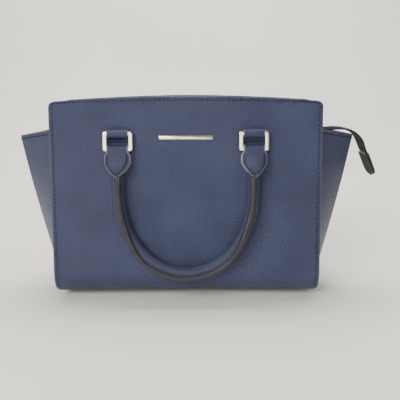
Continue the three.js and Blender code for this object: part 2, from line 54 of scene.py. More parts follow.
# ---- sizes, from the frame where it has them ----
PANEL_LOW, PANEL_HIGH = cad_box("front_panel")
MIDDLE_X = (PANEL_LOW[0] + PANEL_HIGH[0]) / 2
TOP_Z = PANEL_HIGH[2]
FOOT_HEIGHT = PANEL_LOW[2]
REF_Z = 5.0
BASE_HALF_DEPTH = 62.0
LEAN = math.atan(0.1627)
ROLL_RADIUS = 22.0
ARCH = 4.4
TOP_CORNER = 6.0
BOTTOM_CORNER = 9.0
TOP_HALF_WIDTH = 140.0
BOTTOM_HALF_WIDTH = 137.3
LEATHER = 2.4
BASE_EDGE_Y = 30.3
WING_LEATHER = 1.8
WING_TIP_Z = 166.0
WING_SEAM_Z = 174.7
WING_REACH = 47.0
WING_REACH_LOW = 14.0
WING_LOW_Z = 20.0
WING_BOW = 1.3
ROLL_Z = FOOT_HEIGHT + ROLL_RADIUS
BAR_X = 69.3
TOP_BAR_H = 169.0
LOW_BAR_H = 153.4
BAR_OUT = 4.9
HANDLE_RADIUS = 6.25
HANDLE_OUT = 8.65
HANDLE_HALF = 68.6
HANDLE_BOTTOM_H = 26.8
HANDLE_DROP = 82.0
HANDLE_TOP_H = 136.0
STITCH_PITCH = 4.4
SHEET_PITCH = 4.0


def face_depth(z):
    return BASE_HALF_DEPTH - math.tan(LEAN) * (z - REF_Z)


ROLL_Y = face_depth(ROLL_Z) - ROLL_RADIUS / math.cos(LEAN)


def half_width(z):
    return BOTTOM_HALF_WIDTH + (TOP_HALF_WIDTH - BOTTOM_HALF_WIDTH) * z / TOP_Z


def on_face(x, h, out, back=False):
    """A point given along the leaning face: across, up the face from REF_Z, and out from it."""
    y = -BASE_HALF_DEPTH - out * math.cos(LEAN) + h * math.sin(LEAN)
    z = REF_Z + out * math.sin(LEAN) + h * math.cos(LEAN)
    if back:
        return np.array([MIDDLE_X - x, -y, z])
    return np.array([MIDDLE_X + x, y, z])


def face_out(back):
    """The direction straight out of a leaning face."""
    return on_face(0, 0, 1, back) - on_face(0, 0, 0, back)


def turns_of(count):
    """Evenly spaced angles round a full turn."""
    return np.linspace(0, 2 * math.pi, count, endpoint=False)


# ---- materials ----
class Nodes:
    """A material being built: shader(), node() and link() keep the recipes short."""

    def __init__(self, name):
        self.material = bpy.data.materials.new(name)
        self.material.use_nodes = True
        self.tree = self.material.node_tree
        self.shader = self.tree.nodes["Principled BSDF"]

    def node(self, kind, **values):
        made = self.tree.nodes.new(kind)
        for key, value in values.items():
            if key.startswith("in_"):
                made.inputs[key[3:].replace("_", " ")].default_value = value
            else:
                setattr(made, key, value)
        return made

    def link(self, source, target):
        self.tree.links.new(source, target)

    def ramp(self, source, stops):
        made = self.node("ShaderNodeValToRGB")
        elements = made.color_ramp.elements
        while len(elements) < len(stops):
            elements.new(0.5)
        for element, (place, colour) in zip(elements, stops):
            element.position = place
            element.color = (*colour, 1.0)
        self.link(source, made.inputs["Fac"])
        return made.outputs["Color"]

    def math(self, operation, a, b):
        made = self.node("ShaderNodeMath", operation=operation)
        for socket, value in zip(made.inputs, (a, b)):
            if isinstance(value, (int, float)):
                socket.default_value = value
            else:
                self.link(value, socket)
        return made.outputs[0]

    def bump(self, height, strength, distance):
        made = self.node("ShaderNodeBump", in_Strength=strength, in_Distance=distance)
        self.link(height, made.inputs["Height"])
        self.link(made.outputs["Normal"], self.shader.inputs["Normal"])

    def set(self, **values):
        for key, value in values.items():
            self.shader.inputs[key.replace("_", " ")].default_value = value

    def lines(self, vector, pitch, turn, distortion):
        """Parallel ridges at a pitch in metres, turned by an angle in the surface."""
        place = self.node("ShaderNodeMapping")
        place.inputs["Rotation"].default_value = (0, 0, turn)
        self.link(vector, place.inputs["Vector"])
        wave = self.node("ShaderNodeTexWave", wave_type="BANDS", bands_direction="X")
        # One band of the wave texture is 2 pi / 20 units long.
        wave.inputs["Scale"].default_value = 2 * math.pi / 20 / pitch
        wave.inputs["Distortion"].default_value = distortion
        wave.inputs["Detail"].default_value = 1.0
        wave.inputs["Detail Scale"].default_value = 1.5
        self.link(place.outputs["Vector"], wave.inputs["Vector"])
        return wave.outputs["Fac"]

    def noise(self, vector, size, detail=2.0):
        made = self.node("ShaderNodeTexNoise", in_Scale=1 / size, in_Detail=detail)
        self.link(vector, made.inputs["Vector"])
        return made.outputs["Fac"]


def leather(name, dark, light, grain=1.0, roughness=0.42):
    """Crosshatch-embossed leather: two sets of fine diagonal ridges over a broken noise."""
    n = Nodes(name)
    uv = n.node("ShaderNodeUVMap").outputs["UV"]
    solid = n.node("ShaderNodeTexCoord").outputs["Object"]
    first = n.lines(uv, 0.0013, math.radians(42), 3.0)
    second = n.lines(uv, 0.0021, math.radians(-48), 3.4)
    pebble = n.noise(uv, 0.0022, 3.0)
    hatch = n.math("MULTIPLY", first, n.math("ADD", n.math("MULTIPLY", second, 0.7), 0.3))
    height = n.math("ADD", hatch, n.math("MULTIPLY", pebble, 1.1))
    n.bump(height, 0.9 * grain, 0.0005)
    cloud = n.noise(solid, 0.045, 3.0)
    mixed = n.math("ADD", n.math("MULTIPLY", height, 0.55), n.math("MULTIPLY", cloud, 0.25))
    n.link(n.ramp(mixed, [(0.40, dark), (0.80, light)]), n.shader.inputs["Base Color"])
    gloss = n.math("ADD", n.math("MULTIPLY", pebble, 0.16), roughness - 0.06)
    n.link(gloss, n.shader.inputs["Roughness"])
    n.set(Sheen_Weight=0.03, Sheen_Roughness=0.5, Specular_IOR_Level=0.3)
    return n.material


def smooth_leather(name, dark, light, roughness):
    """Plain leather or edge paint with fine pores and cloudy wear."""
    n = Nodes(name)
    solid = n.node("ShaderNodeTexCoord").outputs["Object"]
    pores = n.noise(solid, 0.0009, 4.0)
    cloud = n.noise(solid, 0.012, 3.0)
    n.bump(pores, 0.3, 0.00012)
    mixed = n.math("ADD", n.math("MULTIPLY", pores, 0.4), n.math("MULTIPLY", cloud, 0.6))
    n.link(n.ramp(mixed, [(0.3, dark), (0.75, light)]), n.shader.inputs["Base Color"])
    n.link(n.math("ADD", n.math("MULTIPLY", cloud, 0.2), roughness - 0.1), n.shader.inputs["Roughness"])
    n.set(Specular_IOR_Level=0.3)
    return n.material


def metal(name, dark, light, roughness):
    """Polished plating with faint hairlines and slightly uneven gloss."""
    n = Nodes(name)
    solid = n.node("ShaderNodeTexCoord").outputs["Object"]
    stretch = n.node("ShaderNodeMapping")
    stretch.inputs["Scale"].default_value = (1.0, 1.0, 6.0)
    n.link(solid, stretch.inputs["Vector"])
    hair = n.noise(stretch.outputs["Vector"], 0.0012, 4.0)
    cloud = n.noise(solid, 0.01, 2.0)
    n.link(n.ramp(cloud, [(0.3, dark), (0.7, light)]), n.shader.inputs["Base Color"])
    n.link(n.math("ADD", n.math("MULTIPLY", hair, 0.14), roughness - 0.05), n.shader.inputs["Roughness"])
    n.bump(hair, 0.06, 0.0001)
    n.set(Metallic=1.0)
    return n.material


def woven(name, dark, light, pitch, roughness=0.85):
    """Plain weave: two sets of threads crossing at a right angle."""
    n = Nodes(name)
    place = n.node("ShaderNodeTexCoord").outputs["Object"]
    warp = n.lines(place, pitch, 0.0, 0.6)
    weft = n.lines(place, pitch * 1.15, math.pi / 2, 0.6)
    over = n.math("MAXIMUM", warp, weft)
    fuzz = n.noise(place, pitch * 0.8, 3.0)
    height = n.math("ADD", over, n.math("MULTIPLY", fuzz, 0.5))
    n.bump(height, 0.6, pitch * 0.25)
    colour = n.ramp(n.math("MULTIPLY", height, 0.7), [(0.25, dark), (0.9, light)])
    n.link(colour, n.shader.inputs["Base Color"])
    n.set(Roughness=roughness, Sheen_Weight=0.02, Specular_IOR_Level=0.15)
    return n.material


NAVY = leather("navy_crosshatch", (0.007, 0.009, 0.030), (0.072, 0.085, 0.168))
TAB_NAVY = leather("navy_crosshatch_tabs", (0.009, 0.012, 0.034), (0.048, 0.056, 0.116), 0.6)
ROLL_NAVY = leather("navy_roll", (0.011, 0.014, 0.036), (0.052, 0.060, 0.108), 0.7)
STRIP_NAVY = leather("navy_strip", (0.012, 0.015, 0.038), (0.056, 0.066, 0.120), 0.8)
EDGE = smooth_leather("edge_paint", (0.055, 0.055, 0.060), (0.150, 0.145, 0.140), 0.36)
TAB_EDGE = smooth_leather("tab_edge_paint", (0.20, 0.19, 0.17), (0.40, 0.38, 0.34), 0.34)
HANDLE_EDGE = smooth_leather("handle_edge_paint", (0.018, 0.017, 0.019), (0.052, 0.047, 0.043), 0.34)
FLESH = smooth_leather("leather_back", (0.020, 0.024, 0.040), (0.048, 0.054, 0.078), 0.75)
THREAD = woven("thread", (0.002, 0.003, 0.007), (0.009, 0.011, 0.022), 0.0004, 0.8)
# Painted shade: near-black colour for the dark inside of needle holes and of the slits that the chapes pass
# through.
HOLE_SHADE = smooth_leather("needle_shadow", (0.004, 0.005, 0.010), (0.010, 0.012, 0.020), 0.9)
CLOTH = woven("lining_cloth", (0.16, 0.145, 0.12), (0.36, 0.33, 0.28), 0.0009)
TAPE = woven("zip_tape", (0.003, 0.004, 0.010), (0.014, 0.017, 0.032), 0.0007)
# Painted shade: a darker copy of the leather back, used on the zip end tab's back, which sits in shade.
SHADED_BACK = smooth_leather("shaded_back", (0.004, 0.005, 0.010), (0.012, 0.015, 0.028), 0.8)
GOLD = metal("pale_gold", (0.62, 0.56, 0.34), (0.80, 0.74, 0.50), 0.18)
BOARD = smooth_leather("stiffener", (0.06, 0.05, 0.04), (0.14, 0.12, 0.10), 0.9)


# ---- mesh helpers ----
def finish_mesh(name, verts, faces, materials, slots=None, uvs=None, sharp=48):
    mesh = bpy.data.meshes.new(name)
    mesh.from_pydata((np.asarray(verts, float) * MM).tolist(), [], faces)
    for material in materials:
        mesh.materials.append(material)
    if slots is not None:
        mesh.polygons.foreach_set("material_index", np.asarray(slots, dtype=np.int32))
    if uvs is not None:
        layer = mesh.uv_layers.new(name="UVMap")
        loops = np.empty(len(mesh.loops), dtype=np.int32)
        mesh.loops.foreach_get("vertex_index", loops)
        layer.data.foreach_set("uv", (np.asarray(uvs, float)[loops] * MM).ravel())
    mesh.polygons.foreach_set("use_smooth", np.ones(len(mesh.polygons), dtype=bool))
    mesh.update()
    mesh.set_sharp_from_angle(angle=math.radians(sharp))
    piece = bpy.data.objects.new(name, mesh)
    bpy.context.scene.collection.objects.link(piece)
    return piece


def dress(piece, body, node=None):
    """Tie a piece to its body, and hide the CAD node that it stands for."""
    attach(piece, body)
    if node:
        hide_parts(node)


def unit(vectors):
    return vectors / np.maximum(np.linalg.norm(vectors, axis=-1, keepdims=True), 1e-9)


def grid_normals(grid):
    return unit(np.cross(np.gradient(grid, axis=1), np.gradient(grid, axis=0)))


def grid_quads(index):
    """Every cell of a grid of indices, as quads."""
    corners = [index[:-1, :-1], index[:-1, 1:], index[1:, 1:], index[1:, :-1]]
    return np.stack(corners, axis=-1).reshape(-1, 4)


def ring_faces(rings, count, start=0):
    """Quads between rings of count points each, numbered from start."""
    faces = []
    for ring in range(rings - 1):
        for k in range(count):
            a, b = start + ring * count + k, start + ring * count + (k + 1) % count
            faces.append([a, b, b + count, a + count])
    return faces


def border_of(rows, columns):
    """Indices round the rim of a grid, in order."""
    top = [(0, j) for j in range(columns)]
    right = [(i, columns - 1) for i in range(1, rows)]
    bottom = [(rows - 1, j) for j in range(columns - 2, -1, -1)]
    left = [(i, 0) for i in range(rows - 2, 0, -1)]
    return top + right + bottom + left


def facing_normals(grid, outward, probe=None):
    """Grid normals, turned so that the one at the probe row looks outward."""
    normal = grid_normals(grid)
    row = grid.shape[0] // 2 if probe is None else probe
    sign = 1.0 if normal[row, grid.shape[1] // 2] @ np.asarray(outward, float) > 0 else -1.0
    return normal * sign, sign


def shell(name, grid, thick, outward, face=None, back=None, edge=None, probe=None, rim=4):
    """A leather sheet: an outer surface, an inner one, and a rounded painted rim between them."""
    face, back, edge = face or NAVY, back or FLESH, edge or EDGE
    grid = np.asarray(grid, float)
    rows, columns = grid.shape[:2]
    normal, sign = facing_normals(grid, outward, probe)
    inner = grid - normal * thick
    count = rows * columns
    across = np.cumsum(np.r_[0, np.linalg.norm(np.diff(grid[rows // 2], axis=0), axis=1)])
    along = np.cumsum(np.r_[0, np.linalg.norm(np.diff(grid[:, columns // 2], axis=0), axis=1)])
    flat = np.stack(np.meshgrid(across, along), axis=-1).reshape(-1, 2)
    verts = [grid.reshape(-1, 3), inner.reshape(-1, 3)]
    uvs = [flat, flat]
    faces, slots = [], []
    index = np.arange(count).reshape(rows, columns)
    quads = grid_quads(index)
    quads = quads if sign > 0 else quads[:, ::-1]
    faces += quads.tolist()
    slots += [0] * len(quads)
    faces += (quads[:, ::-1] + count).tolist()
    slots += [1] * len(quads)
    loop = border_of(rows, columns)
    ids = np.array([index[i, j] for i, j in loop])
    outer_rim = grid.reshape(-1, 3)[ids]
    inner_rim = inner.reshape(-1, 3)[ids]
    middle = (outer_rim + inner_rim) / 2
    centre_of = np.array([grid[min(max(i, 1), rows - 2), min(max(j, 1), columns - 2)] for i, j in loop])
    away = outer_rim - centre_of
    rim_normal = normal.reshape(-1, 3)[ids]
    away = unit(away - (away * rim_normal).sum(1, keepdims=True) * rim_normal)
    rings = [ids]
    total = 2 * count
    for step in range(1, rim):
        angle = math.pi * step / rim
        ring = middle + (outer_rim - middle) * math.cos(angle) + away * (thick / 2) * math.sin(angle) * 0.8
        verts.append(ring)
        uvs.append(flat[ids])
        rings.append(np.arange(total, total + len(ids)))
        total += len(ids)
    rings.append(ids + count)
    for a, b in zip(rings[:-1], rings[1:]):
        a2, b2 = np.roll(a, -1), np.roll(b, -1)
        strip = np.stack([a, a2, b2, b], axis=-1)
        strip = strip[:, ::-1] if sign > 0 else strip
        faces += strip.tolist()
        slots += [2] * len(strip)
    piece = finish_mesh(name, np.concatenate(verts), faces, [face, back, edge], slots, np.concatenate(uvs))
    return piece


def resample(path, pitch):
    path = np.asarray(path, float)
    length = np.cumsum(np.r_[0, np.linalg.norm(np.diff(path, axis=0), axis=1)])
    count = max(2, int(round(length[-1] / pitch)))
    places = (np.arange(count) + 0.5) * length[-1] / count
    return np.stack([np.interp(places, length, path[:, k]) for k in range(3)], axis=1), places, length


def stitches(name, path, normals, body, pitch=STITCH_PITCH, long=2.4, wide=0.66):
    """A row of thread stitches, each a small rounded bead with a near-black disc of painted shade for the
    needle hole at each end.
    """
    slant = math.radians(6.0)
    points, places, length = resample(path, pitch)
    normals = np.asarray(normals, float)
    if normals.ndim == 1:
        normals = np.tile(normals, (len(path), 1))
    up = unit(np.stack([np.interp(places, length, normals[:, k]) for k in range(3)], axis=1))
    ahead = np.gradient(points, axis=0)
    ahead = unit(ahead - (ahead * up).sum(1, keepdims=True) * up)
    side = np.cross(up, ahead)
    sides, rings = 6, 5
    verts, faces, slots = [], [], []
    for point, u, a, s in zip(points, up, ahead, side):
        a, s = a * math.cos(slant) + s * math.sin(slant), s * math.cos(slant) - a * math.sin(slant)
        start = len(verts)
        for r in range(rings):
            t = -1 + 2 * r / (rings - 1)
            size = wide * math.sqrt(max(0.08, 1 - t ** 4))
            middle = point + a * t * long / 2 + u * (0.1 - 0.3 * t * t)
            for k in range(sides):
                angle = 2 * math.pi * k / sides
                verts.append(middle + s * size * math.cos(angle) + u * size * 0.8 * math.sin(angle))
        faces += ring_faces(rings, sides, start)
        slots += [0] * (rings - 1) * sides
        faces.append([start + k for k in range(sides - 1, -1, -1)])
        faces.append([start + (rings - 1) * sides + k for k in range(sides)])
        slots += [0, 0]
        # The needle hole is a shallow near-black disc of painted shade between this stitch and the next.
        hole = point + a * pitch / 2 + u * 0.14
        start = len(verts)
        for k in range(sides):
            angle = 2 * math.pi * k / sides
            verts.append(hole + a * 0.35 * math.cos(angle) + s * 0.35 * math.sin(angle))
        faces.append([start + k for k in range(sides)])
        slots.append(1)
    piece = finish_mesh(name, verts, faces, [THREAD, HOLE_SHADE], slots)
    dress(piece, body)


def swept(name, centres, frames, section, materials, slots_round, closed=False):
    """A section (points in the frame's two directions) carried along centres."""
    centres = np.asarray(centres, float)
    section = np.asarray(section, float)
    per_place = section if section.ndim == 3 else np.tile(section, (len(centres), 1, 1))
    first, second = frames
    verts = centres[:, None] + per_place[..., 0:1] * first[:, None] + per_place[..., 1:2] * second[:, None]
    rows, count = verts.shape[:2]
    faces, slots = [], []
    last = rows if closed else rows - 1
    for i in range(last):
        for k in range(count):
            a, b = i * count + k, i * count + (k + 1) % count
            c, d = ((i + 1) % rows) * count + (k + 1) % count, ((i + 1) % rows) * count + k
            faces.append([a, b, c, d])
            slots.append(slots_round[k])
    if not closed:
        faces.append(list(range(count - 1, -1, -1)))
        faces.append([(rows - 1) * count + k for k in range(count)])
        slots += [0, 0]
    ring = np.r_[0, np.cumsum(np.linalg.norm(np.diff(per_place[0], axis=0), axis=1))]
    way = np.r_[0, np.cumsum(np.linalg.norm(np.diff(centres, axis=0), axis=1))]
    uvs = np.stack(np.meshgrid(ring, way), axis=-1).reshape(-1, 2)
    return finish_mesh(name, verts.reshape(-1, 3), faces, materials, slots, uvs)


# ---- panels ----
def ripple(x, s):
    """The slight unevenness of stiff leather, under a millimetre."""
    return 0.35 * math.sin(x / 31.0 + 0.7) * math.sin(s / 43.0 + 0.4) + 0.2 * math.sin(x / 17.0 + s / 23.0)


def panel_grid(back):
    """The panel's outer surface: rows from the top edge down the face and round the roll."""
    face_rows = 74
    roll_rows = 16
    columns = 97
    below_face = 1e3
    lean_z = ROLL_Z + ROLL_RADIUS * math.sin(LEAN)
    grid = []
    corner_top = TOP_Z - ARCH
    crowd = (1 - np.cos(np.linspace(0, math.pi, columns))) / 2
    across = 2 * (0.55 * crowd + 0.45 * np.linspace(0, 1, columns)) - 1
    profile = []
    face_drops = np.linspace(TOP_CORNER, corner_top - lean_z, face_rows)
    drops = np.r_[np.linspace(0, TOP_CORNER, 9), face_drops[1:]]
    for drop in drops:
        z = corner_top - drop
        profile.append((face_depth(z), z, drop))
    for k in range(1, roll_rows + 1):
        angle = math.pi - LEAN + (math.pi / 2 + LEAN) * k / roll_rows
        y = ROLL_Y - ROLL_RADIUS * math.cos(angle)
        profile.append((y, ROLL_Z + ROLL_RADIUS * math.sin(angle), below_face))
    profile.append((BASE_EDGE_Y, FOOT_HEIGHT, below_face))
    rise_from = 120.0
    sign = 1 if back else -1
    for depth, z, drop in profile:
        row = []
        wide = half_width(z)
        if drop < TOP_CORNER:
            wide -= TOP_CORNER - math.sqrt(TOP_CORNER ** 2 - (TOP_CORNER - drop) ** 2)
        low = z - FOOT_HEIGHT
        if low < BOTTOM_CORNER:
            wide -= 0.6 * (BOTTOM_CORNER - math.sqrt(BOTTOM_CORNER ** 2 - (BOTTOM_CORNER - low) ** 2))
        for u in across:
            x = wide * u
            raise_by = ARCH * (1 - u * u) * max(0.0, (z - rise_from) / (corner_top - rise_from)) ** 2
            h = z + raise_by
            inset = ripple(x, z) if 8 < z < corner_top - 6 else 0.0
            # The bottom of the bag sits a little higher in its middle than at its corners.
            lift = 1.4 * (1 - u * u) * max(0.0, 1 - low / 40.0)
            if drop < below_face:
                depth_here = face_depth(h) + 0.8 * (1 - u * u) * math.sin(math.pi * min(1.0, z / TOP_Z))
            else:
                depth_here = depth
            row.append((MIDDLE_X - sign * x, sign * (depth_here - max(0.0, inset)), h + lift))
        grid.append(row)
    return np.array(grid)


def rim_rows(grid, inset_top, inset_side):
    """Stitch line round the sides and the top, a fixed way in from the panel's edge."""
    def inward(edge, next_one, distance):
        step = unit(next_one - edge)
        return edge + step * distance
    left = inward(grid[4:-10, 0], grid[4:-10, 6], inset_side)
    right = inward(grid[4:-10, -1], grid[4:-10, -7], inset_side)
    top = inward(grid[0, 2:-2], grid[8, 2:-2], inset_top)
    return np.concatenate([left[::-1], top, right])


def make_panel(side):
    back = side == "back"
    grid = panel_grid(back)
    outward = (0, 1, 0) if back else (0, -1, 0)
    piece = shell(f"{side}_panel_leather", grid, LEATHER, outward, probe=20)
    dress(piece, "bag", f"{side}_panel")
    normal, _ = facing_normals(grid, outward, 20)
    path = rim_rows(grid, 3.2, 3.0)
    middle = normal[20, normal.shape[1] // 2]
    stitches(f"{side}_panel_stitches", path + middle * 0.02, middle, "bag")
    return grid


# ---- wings ----
def layer_depth(z, inset):
    radius = ROLL_RADIUS - inset
    if z >= ROLL_Z + radius * math.sin(LEAN):
        return face_depth(z) - inset / math.cos(LEAN)
    return ROLL_Y + math.sqrt(max(0.0, radius ** 2 - (z - ROLL_Z) ** 2))


def round_corner(a, b, c, radius, steps):
    u, v = unit(a - b), unit(c - b)
    half = math.acos(np.clip(u @ v, -1, 1)) / 2
    centre = b + unit(u + v) * radius / math.sin(half)
    first = b + u * radius / math.tan(half) - centre
    last = b + v * radius / math.tan(half) - centre
    out = []
    for k in range(steps + 1):
        t = k / steps
        mix = first * math.sin((1 - t) * (math.pi - 2 * half)) + last * math.sin(t * (math.pi - 2 * half))
        out.append(centre + mix / math.sin(math.pi - 2 * half))
    return out


def wing_line(z, seam_z):
    half = layer_depth(seam_z, LEATHER + 0.5)
    edge = half_width(z) - 0.5
    reach = WING_REACH_LOW + (WING_REACH - WING_REACH_LOW) * (z - WING_LOW_Z) / (WING_TIP_Z - WING_LOW_Z)
    tip = np.array([edge + reach, 0.0])
    bend = np.array([edge - 8.0, -half])
    start = np.array([edge, -half])
    mirror = bend * (1, -1)
    front = round_corner(start, bend, tip, 1.6, 6)
    fold = round_corner(bend, tip, mirror, 5.0, 14)
    side = [front[-1] + (fold[0] - front[-1]) * t for t in np.linspace(0, 1, 26)[1:-1]]
    line = [start, *front, *side, *fold[:8]]
    points = np.array(line)
    other = points[:-1][::-1] * (1, -1)
    whole = np.concatenate([points, other])
    return whole


def make_wing(end):
    sign = 1 if end == "right" else -1
    levels = np.r_[np.linspace(7, 26, 9), np.linspace(26, WING_TIP_Z, 60)[1:]]
    rows = []
    slope = (WING_SEAM_Z - WING_TIP_Z) / WING_REACH
    tip_x = half_width(WING_TIP_Z) - 0.5 + WING_REACH
    for z in levels[::-1]:
        share = max(0.0, (z - 120.0) / (WING_TIP_Z - 120.0))
        seam_z = z + (WING_SEAM_Z - WING_TIP_Z) * share
        line = wing_line(z, seam_z)
        row = []
        for x, y in line:
            inward = min(WING_REACH, max(0.0, tip_x - x)) if share else 0.0
            # The leather bows out a little between seam and fold.
            bow = WING_BOW * math.sin(math.pi * min(1.0, abs(y) / 50.0))
            bow *= math.sin(math.pi * min(1.0, z / 190.0))
            row.append((MIDDLE_X + sign * (x + bow), y, z + inward * slope * share))
        rows.append(row)
    grid = np.array(rows)
    piece = shell(f"wing_{end}_leather", grid, WING_LEATHER, (sign, 0, 0))
    dress(piece, "bag", f"wing_{end}")
    normal, _ = facing_normals(grid, (sign, 0, 0))
    path = grid[0] + unit(grid[4] - grid[0]) * 3.2
    keep = slice(9, len(path) - 9)
    up = normal[1][keep]
    stitches(f"wing_{end}_stitches", path[keep] + up * 0.05, up, "bag", pitch=3.9)


# ---- fittings on the face: chapes, rings, tabs and handles ----
def strap_grid(path, half_widths, x, back, crown=0.0, columns=15):
    """A strap along path (out, h) points, with its half width at each."""
    rows = []
    for (out, h), half in zip(path, half_widths):
        row = []
        for u in np.linspace(-1, 1, columns):
            row.append(on_face(x + u * half, h, out - crown * u * u, back))
        rows.append(row)
    return np.array(rows)


def arc(out, h, radius, start, end, steps):
    angles = np.radians(np.linspace(start, end, steps))
    return [(out + radius * math.cos(a), h + radius * math.sin(a)) for a in angles]


def make_chape(side, end, x):
    back = side == "back"
    path = [(0.4, TOP_BAR_H + 4.5)] + arc(BAR_OUT, TOP_BAR_H, 4.5, 90, -90, 22) + [(0.4, TOP_BAR_H - 4.5)]
    grid = strap_grid(path, [10.0] * len(path), x, back)
    out = face_out(back)
    piece = shell(f"{side}_chape_{end}_leather", grid, 1.4, out, face=TAB_NAVY)
    dress(piece, "bag", f"{side}_chape_{end}")
    # Painted shade: thin near-black sheets for the slits that the chape passes through, and the row of
    # stitches under it.
    for name, h, tall in (("upper", TOP_BAR_H + 4.2, 1.0), ("lower", TOP_BAR_H - 4.6, 1.0)):
        slit_path = [(0.12, h + tall), (0.2, h), (0.12, h - tall)]
        slit_grid = strap_grid(slit_path, [10.4] * 3, x, back, columns=9)
        slit_shade = shell(f"{side}_slit_{name}_{end}", slit_grid, 0.1, out, face=HOLE_SHADE, back=HOLE_SHADE, edge=HOLE_SHADE,
                     rim=2)
        dress(slit_shade, "bag")
    start = on_face(x - 9, TOP_BAR_H - 8.0, 0.9, back)
    stop = on_face(x + 9, TOP_BAR_H - 8.0, 0.9, back)
    line = np.linspace(start, stop, 5)
    stitches(f"{side}_chape_stitches_{end}", line, out, "bag", pitch=3.0, long=2.0)


def rounded_frame(width, height, radius, per_corner=10):
    """A closed outline with round corners, and the outward direction at each of its points."""
    w, h = width / 2 - radius, height / 2 - radius
    points, outward = [], []
    for cx, cy, start in ((w, h, 0), (-w, h, 90), (-w, -h, 180), (w, -h, 270)):
        for a in np.radians(np.linspace(start, start + 90, per_corner)):
            points.append((cx + radius * math.cos(a), cy + radius * math.sin(a)))
            outward.append((math.cos(a), math.sin(a)))
    return np.array(points), np.array(outward)


RING = {"width": 30.8, "height": 20.2, "bar": 4.6, "thick": 3.4, "corner": 0.7}


def make_ring(side, end, x):
    back = side == "back"
    bar, thick = RING["bar"], RING["thick"]
    points, outward = rounded_frame(RING["width"] - bar, RING["height"] - bar, RING["corner"])
    middle_h = (TOP_BAR_H + LOW_BAR_H) / 2
    centres = np.array([on_face(x + px, middle_h + py, BAR_OUT, back) for px, py in points])
    base = on_face(0, 0, 0, back)
    first = unit(np.array([on_face(ox, oy, 0, back) - base for ox, oy in outward]))
    second = np.tile(unit(on_face(0, 0, 1, back) - base), (len(centres), 1))
    angles = turns_of(28)
    power = 0.42
    section = np.array([(bar / 2 * np.sign(math.cos(a)) * abs(math.cos(a)) ** power,
                         thick / 2 * np.sign(math.sin(a)) * abs(math.sin(a)) ** power) for a in angles])
    slots = [0] * len(section)
    piece = swept(f"{side}_ring_{end}_metal", centres, (first, second), section, [GOLD], slots, closed=True)
    dress(piece, f"{side}_ring_{end}", f"{side}_ring_{end}")


TAB_TIP = 125.4
TAB_WIDEST = 139.0
TAB_HALF = 12.2
TAB_FLAT_ABOVE = 150.0


def tab_half(h, shrink=0.0):
    """Half the width of the pointed tab at a height."""
    if h >= 151.0:
        return 10.0 - shrink
    if h >= 146.5:
        t = (151.0 - h) / 4.5
        return 10.0 + (TAB_HALF - 10.0) * (3 * t * t - 2 * t ** 3) - shrink
    if h >= TAB_WIDEST:
        return TAB_HALF - shrink
    t = (h - TAB_TIP) / (TAB_WIDEST - TAB_TIP)
    return max(0.6, TAB_HALF * min(1.0, t) ** 0.62) - shrink * min(1.0, 2 * t)


def swell(h):
    """How far the tab's front stands out from the face, eased between the roll and the loop."""
    t = np.clip((h - 133.0) / 17.0, 0, 1)
    ease = 3 * t * t - 2 * t ** 3
    return 16.7 + (BAR_OUT + 4.5 - 16.7) * ease


def make_tab(side, end, x):
    back = side == "back"
    body = f"{side}_handle"
    heights = TAB_TIP + (LOW_BAR_H - TAB_TIP) * (1 - np.cos(np.linspace(0, math.pi / 2, 34)))
    front = [(swell(h), h) for h in heights]
    loop = arc(BAR_OUT, LOW_BAR_H, 4.5, 0, 180, 26)[1:]
    behind = [(0.45, h) for h in np.linspace(LOW_BAR_H, TAB_TIP + 0.5, 24)[1:]]
    path = front + loop + behind
    widths = [tab_half(h) for h in heights] + [10.0] * len(loop) + [tab_half(h) for _, h in behind]
    rows = []
    for (out, h), half in zip(path, widths):
        row = []
        # The front layer is crowned over the roll beneath it.
        is_crowned = out > BAR_OUT and h < TAB_FLAT_ABOVE
        fade = min(1.0, (TAB_FLAT_ABOVE - h) / 12) if is_crowned else 0.0
        for u in np.linspace(-1, 1, 19):
            crown = 3.2 * u * u * (half / TAB_HALF) ** 2 * fade
            row.append(on_face(x + u * half, h, out - crown, back))
        rows.append(row)
    grid = np.array(rows)[::-1]
    out = face_out(back)
    probe = len(grid) - 12
    piece = shell(f"{side}_tab_{end}_leather", grid, 1.9, out, face=TAB_NAVY, edge=TAB_EDGE, probe=probe)
    dress(piece, body, f"{side}_tab_{end}")
    normal, _ = facing_normals(grid, out, probe)
    path_l, path_r, normal_l, normal_r = [], [], [], []
    for i in range(len(grid) - 1, len(grid) - len(front), -1):
        h = heights[len(grid) - 1 - i]
        if h < TAB_TIP + 3.0 or h > 149:
            continue
        half = tab_half(h)
        share = max(0.0, (half - 2.4) / half)
        for store, norms, u in ((path_l, normal_l, -share), (path_r, normal_r, share)):
            place = (u + 1) / 2 * 18
            k = int(min(17, place))
            store.append(grid[i, k] + (grid[i, k + 1] - grid[i, k]) * (place - k))
            norms.append(normal[i, k])
    path = path_l[::-1] + path_r
    norms = normal_l[::-1] + normal_r
    stitches(f"{side}_tab_stitches_{end}", np.array(path) + np.array(norms) * 0.2, norms, body,
             pitch=3.4, long=1.9, wide=0.6)


def handle_path(steps=150):
    centre = HANDLE_BOTTOM_H + HANDLE_DROP
    leg = np.linspace(HANDLE_TOP_H, centre, 14)[:-1]
    angles = np.linspace(math.pi, 2 * math.pi, steps)
    points = [(-HANDLE_HALF, h) for h in leg]
    points += [(HANDLE_HALF * math.cos(a), centre + HANDLE_DROP * math.sin(a)) for a in angles]
    points += [(HANDLE_HALF, h) for h in leg[::-1]]
    return np.array(points)


